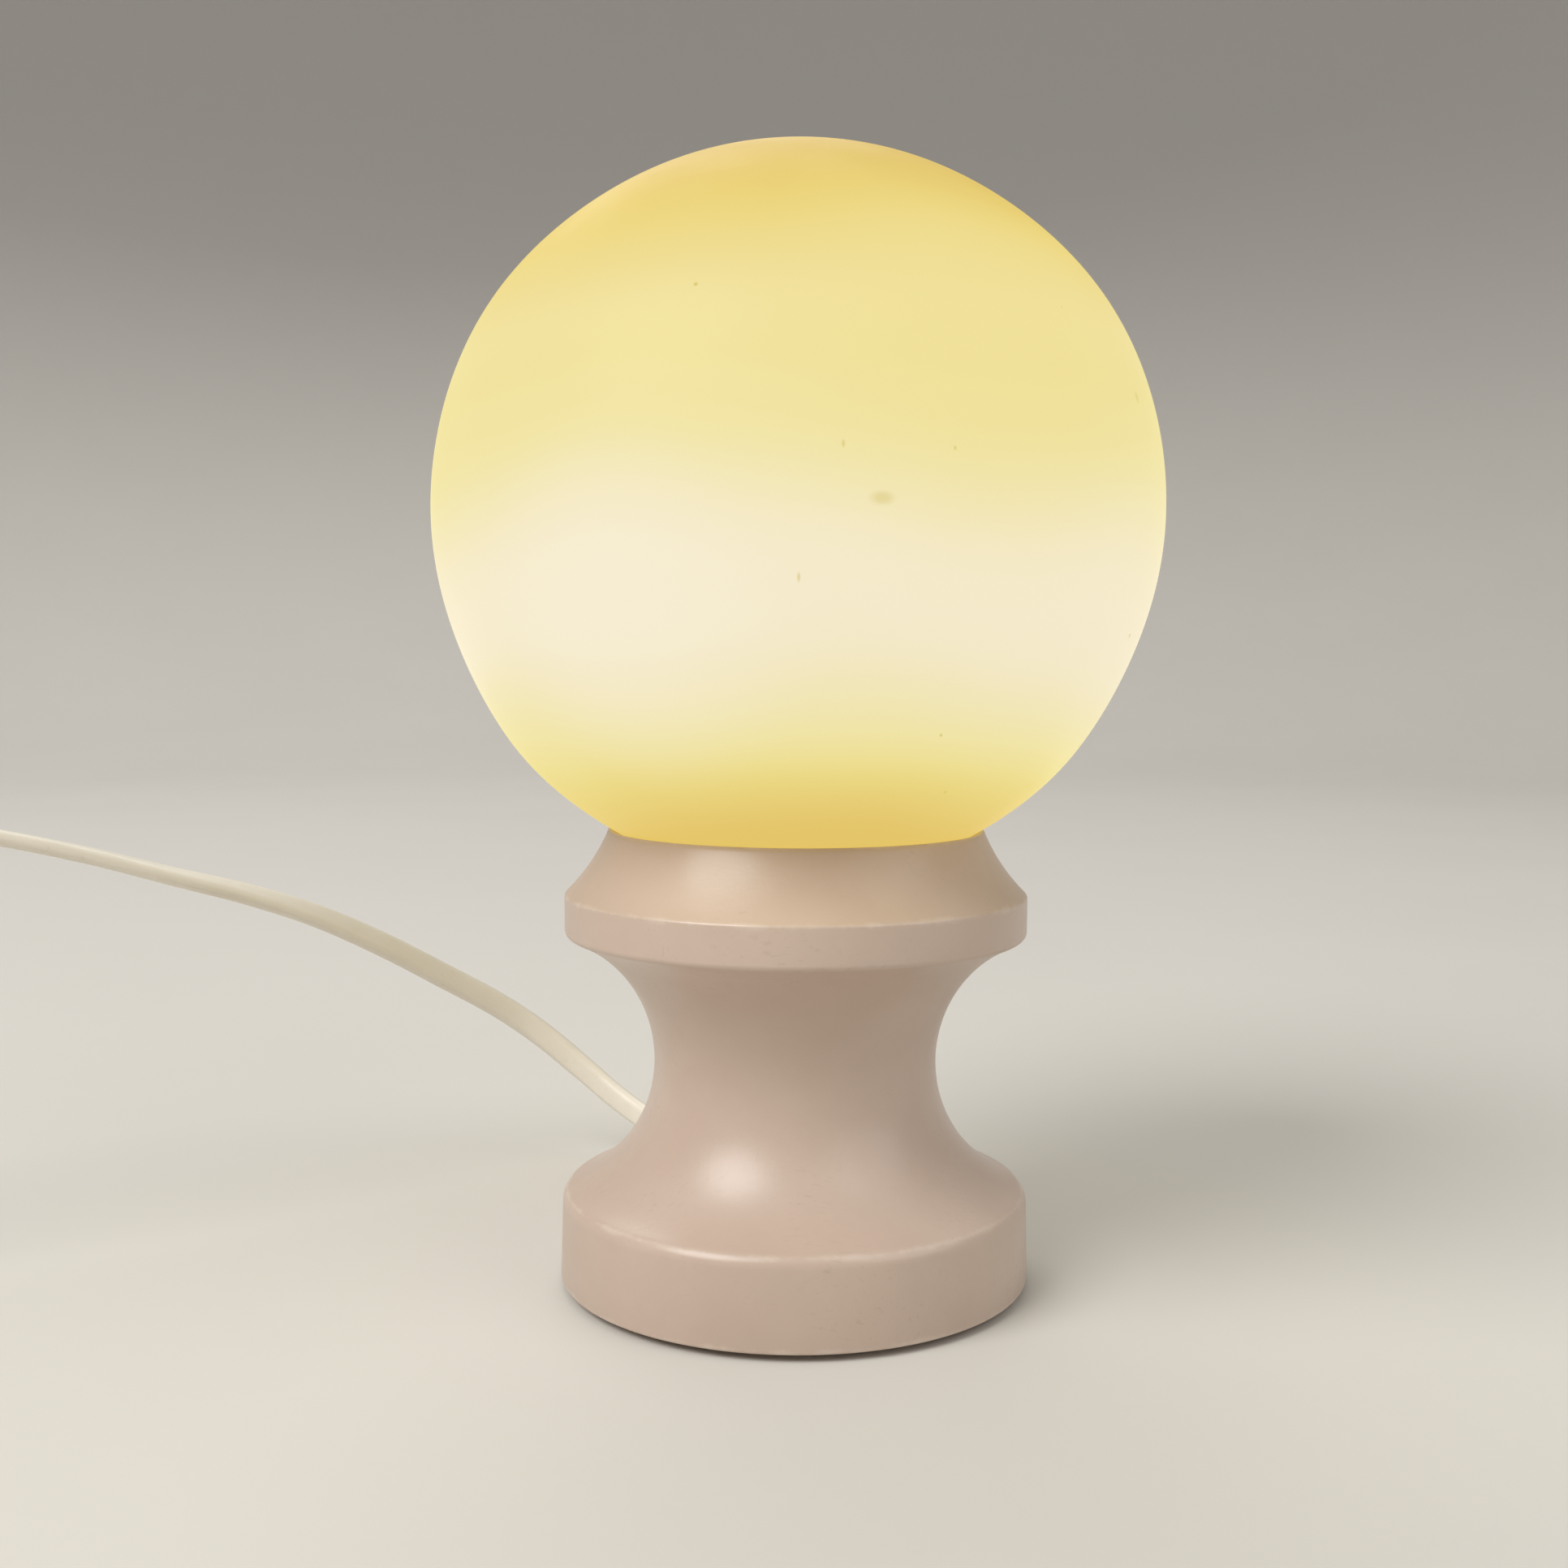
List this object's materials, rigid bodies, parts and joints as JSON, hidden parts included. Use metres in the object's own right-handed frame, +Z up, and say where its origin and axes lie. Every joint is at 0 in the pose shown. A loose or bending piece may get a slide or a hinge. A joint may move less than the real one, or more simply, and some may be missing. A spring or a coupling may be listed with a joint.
{
  "type": "bedside lamp",
  "caption": "Table lamp with a blown opal glass globe on a turned, lacquered spool base, and a flat flex with an in-line switch.",
  "frame": {"origin": "on the table, under the lamp's axis", "axes": "+Z up along the lamp's axis, -Y towards the viewer, the flex lies to -X"},
  "size_m": [0.424, 0.1649, 0.2354],
  "materials": {
    "lacquered_wood": "satin beige lacquer on turned wood",
    "felt": "matt wool felt",
    "steel": "zinc plated",
    "spring_steel": "bright spring strip",
    "brass": "plain turned brass",
    "holder_plastic": "moulded thermoset",
    "ceramic": "glazed ceramic",
    "silicone": "soft translucent ring",
    "opal_glass": "polished blown opal glass",
    "bulb_glass": "frosted",
    "nickel": "nickel plated",
    "black_glass": "black glass",
    "tungsten": "drawn wire",
    "flex": "smooth flexible sheath",
    "moulded_white": "fine eroded texture",
    "rocker_white": "polished",
    "strap": "flat strap",
    "core_blue": "insulated core",
    "core_brown": "insulated core"
  },
  "bodies": {
    "lamp": {"turned_base": "lacquered_wood", "felt_pad": "felt", "ballast_plate": "steel", "plate_screws": "steel", "nipple_tube": "brass", "nipple_washer": "steel", "nipple_nut": "brass", "holder_cap": "holder_plastic", "holder_sleeve": "holder_plastic", "holder_insert": "ceramic", "screw_shell": "brass", "centre_contact": "brass", "terminal_screws": "brass", "gallery_plate": "steel", "gallery_screws": "steel", "spring_clips": "spring_steel", "clip_rivets": "steel", "seat_ring": "silicone", "cord_bush": "moulded_white", "inner_cord": "flex", "cord_grip": "holder_plastic", "grip_screws": "steel", "core_blue": "core_blue", "core_brown": "core_brown", "cord_lead": "flex", "cord_tail": "flex", "cord_coil": "flex", "plug_lead": "flex", "cord_tie": "strap", "switch_lower": "moulded_white", "switch_upper": "moulded_white", "switch_screws": "steel", "switch_leaf": "brass", "switch_contacts": "brass", "plug_body": "moulded_white", "plug_pins": "nickel", "pin_sleeves": "moulded_white"},
    "globe": {"glass_globe": "opal_glass"},
    "bulb": {"bulb_glass": "bulb_glass", "bulb_cap": "nickel", "bulb_insulator": "black_glass", "bulb_contact": "nickel", "bulb_stem": "bulb_glass", "filament": "tungsten"},
    "rocker": {"switch_rocker": "rocker_white"}
  },
  "joints": [
    {"name": "globe_lift", "type": "slide", "parent": "lamp", "child": "globe", "axis": [0, 0, 1], "range_m": [0, 0.11]},
    {"name": "bulb_turn", "type": "hinge", "parent": "lamp", "child": "bulb", "pos_m": [0, 0, 0.095], "axis": [0, 0, 1], "range_deg": [0, 1080]},
    {"name": "rocker_tip", "type": "hinge", "parent": "lamp", "child": "rocker", "pos_m": [-0.336, 0.02, 0.0134], "axis": [1, 0, 0], "range_deg": [0, 16]}
  ]
}
